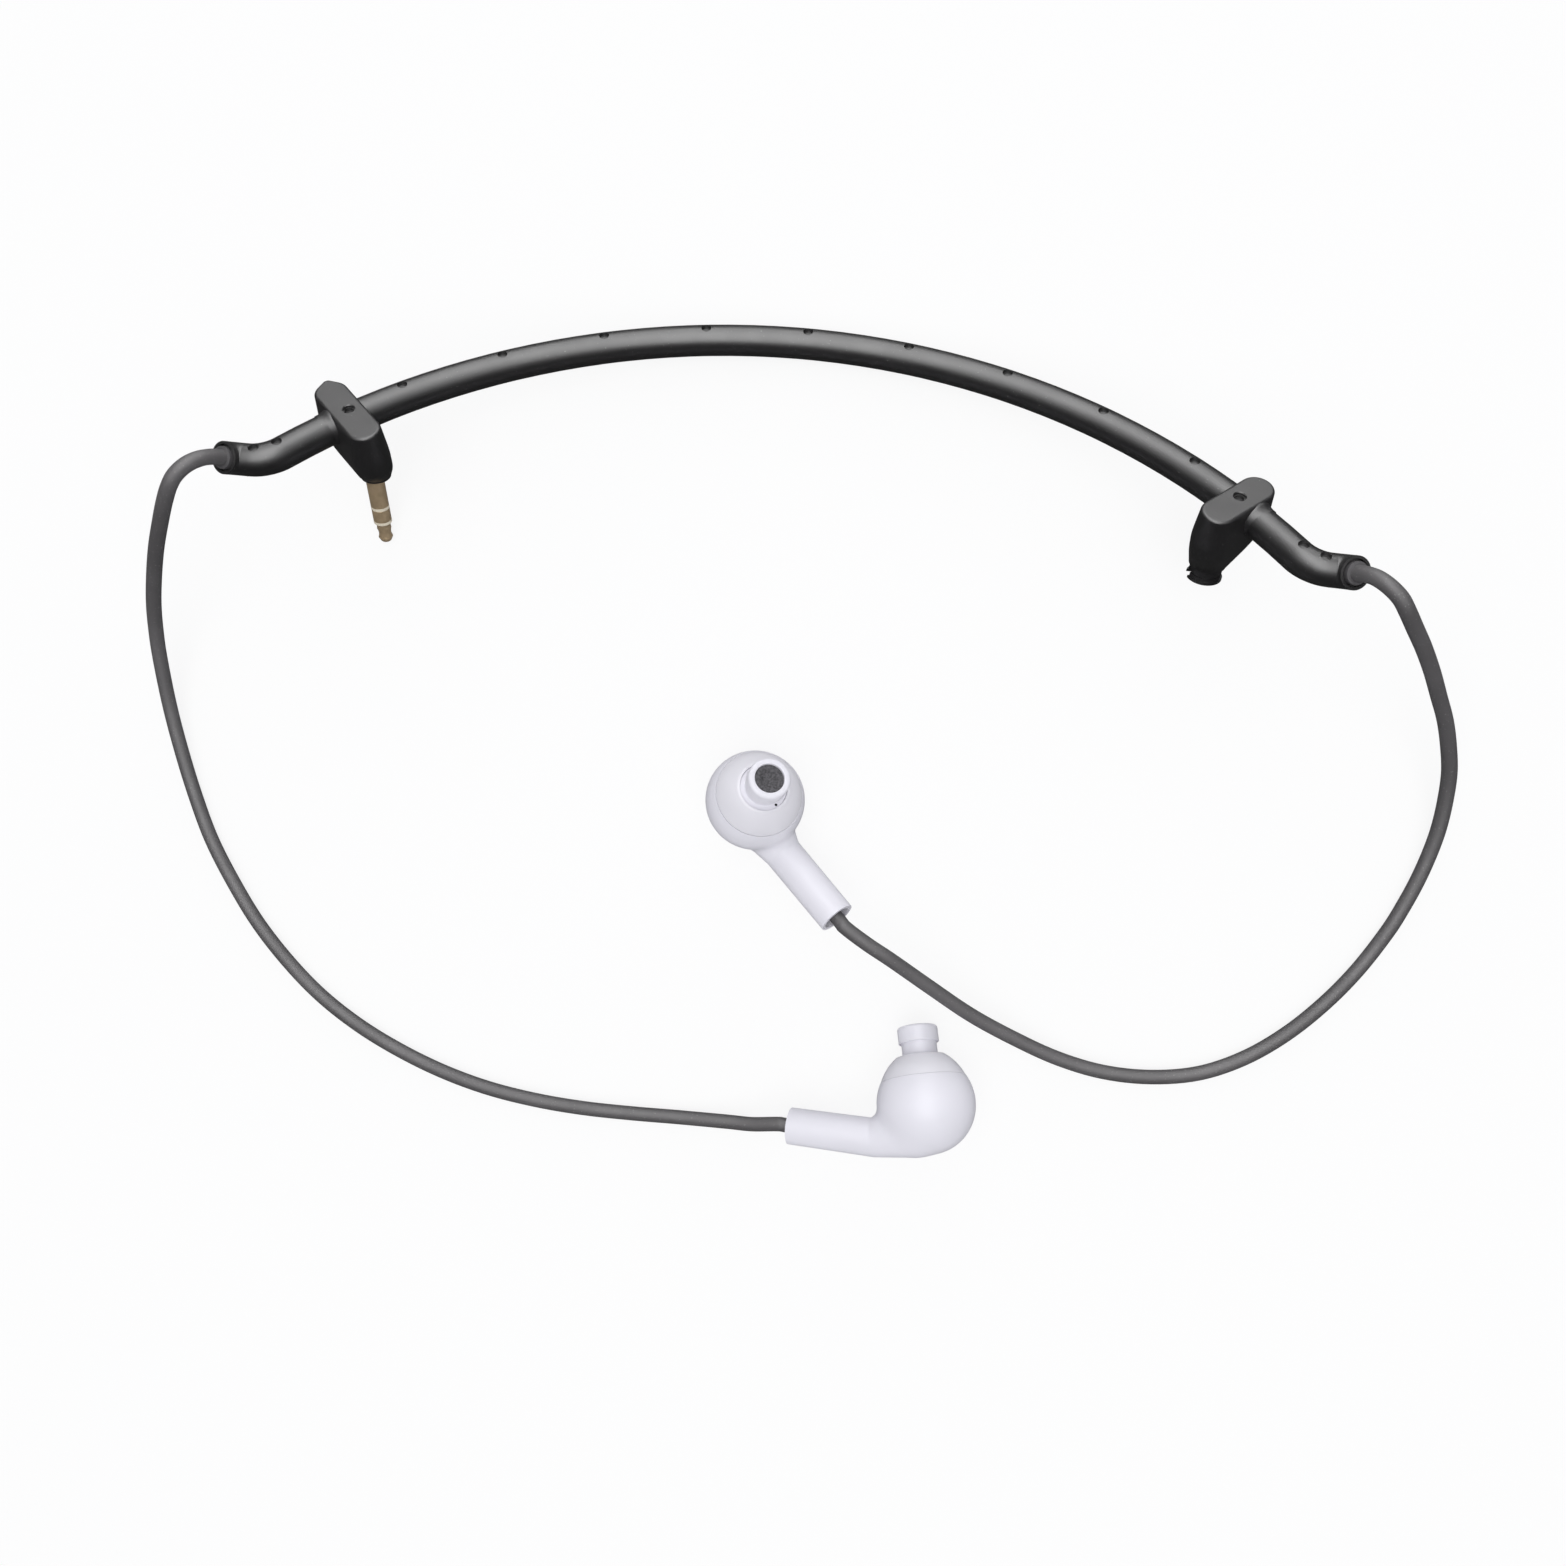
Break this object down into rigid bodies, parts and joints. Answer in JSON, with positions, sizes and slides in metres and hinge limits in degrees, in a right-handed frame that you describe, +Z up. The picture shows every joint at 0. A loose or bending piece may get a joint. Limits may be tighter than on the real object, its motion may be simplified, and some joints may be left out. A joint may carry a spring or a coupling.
{
  "type": "wired neckband earphones",
  "caption": "Earphones with a rubber neck band, a short audio plug and a hollow stub under its blocks, and two cords that each lead to a swivelling earbud.",
  "frame": {"origin": "centre of the bounding box of everything but the two cords, on the table", "axes": "+X along the band's chord, from the plug's end to the stub's end; +Y from the earbuds towards the top of the arch; +Z up from the table"},
  "size_m": [0.2537, 0.1597, 0.0423],
  "materials": {
    "band_rubber": "satin",
    "block_rubber": "satin",
    "cord_skin": "satin",
    "plug_metal": "polished, a brownish gold",
    "insulator": "smooth cream",
    "shell_plastic": "satin white",
    "front_plastic": "satin pale grey",
    "inner_plastic": "moulded",
    "filter_foam": "open foam",
    "spring_steel": "drawn",
    "magnet_plate": "nickel plated",
    "copper": "enamelled copper",
    "film": "thin clear film"
  },
  "bodies": {
    "band": {"band_tube": "band_rubber", "spring_wire": "spring_steel", "left_lead": "copper", "right_lead": "copper", "left_block": "block_rubber", "right_block": "block_rubber", "stub_sleeve": "block_rubber", "plug_sleeve": "plug_metal", "plug_ring": "plug_metal", "plug_tip": "plug_metal", "plug_insulators": "insulator", "plug_terminals": "plug_metal", "left_cord_gland": "band_rubber", "left_cord": "cord_skin", "left_cord_stop": "spring_steel", "right_cord_gland": "band_rubber", "right_cord": "cord_skin", "right_cord_stop": "spring_steel"},
    "left_bud": {"left_stem_bush": "inner_plastic", "left_rear_shell": "shell_plastic", "left_front_shell": "front_plastic", "left_nozzle": "shell_plastic", "left_nozzle_filter": "filter_foam", "left_driver_frame": "inner_plastic", "left_yoke": "spring_steel", "left_magnet": "magnet_plate", "left_pole_plate": "spring_steel"},
    "left_cone": {"left_voice_coil": "copper", "left_diaphragm": "film"},
    "right_bud": {"right_stem_bush": "inner_plastic", "right_rear_shell": "shell_plastic", "right_front_shell": "front_plastic", "right_nozzle": "shell_plastic", "right_nozzle_filter": "filter_foam", "right_driver_frame": "inner_plastic", "right_yoke": "spring_steel", "right_magnet": "magnet_plate", "right_pole_plate": "spring_steel"},
    "right_cone": {"right_voice_coil": "copper", "right_diaphragm": "film"}
  },
  "joints": [
    {"name": "left_bud_swivel", "type": "hinge", "parent": "band", "child": "left_bud", "pos_m": [0.014, -0.07546, 0.0065], "axis": [0.9728, 0.068, 0.2215], "range_deg": [-90, 90]},
    {"name": "right_bud_swivel", "type": "hinge", "parent": "band", "child": "right_bud", "pos_m": [0.0186, -0.03246, 0.0128], "axis": [-0.7136, 0.6203, -0.3256], "range_deg": [-90, 90]},
    {"name": "left_cone_travel", "type": "slide", "parent": "left_bud", "child": "left_cone", "axis": [-0.2178, 0.8866, -0.408], "range_m": [-0.0002, 0.0002], "stiffness_N_per_m": 400},
    {"name": "right_cone_travel", "type": "slide", "parent": "right_bud", "child": "right_cone", "axis": [0.2374, 0.3572, 0.9033], "range_m": [-0.0002, 0.0002], "stiffness_N_per_m": 400}
  ]
}
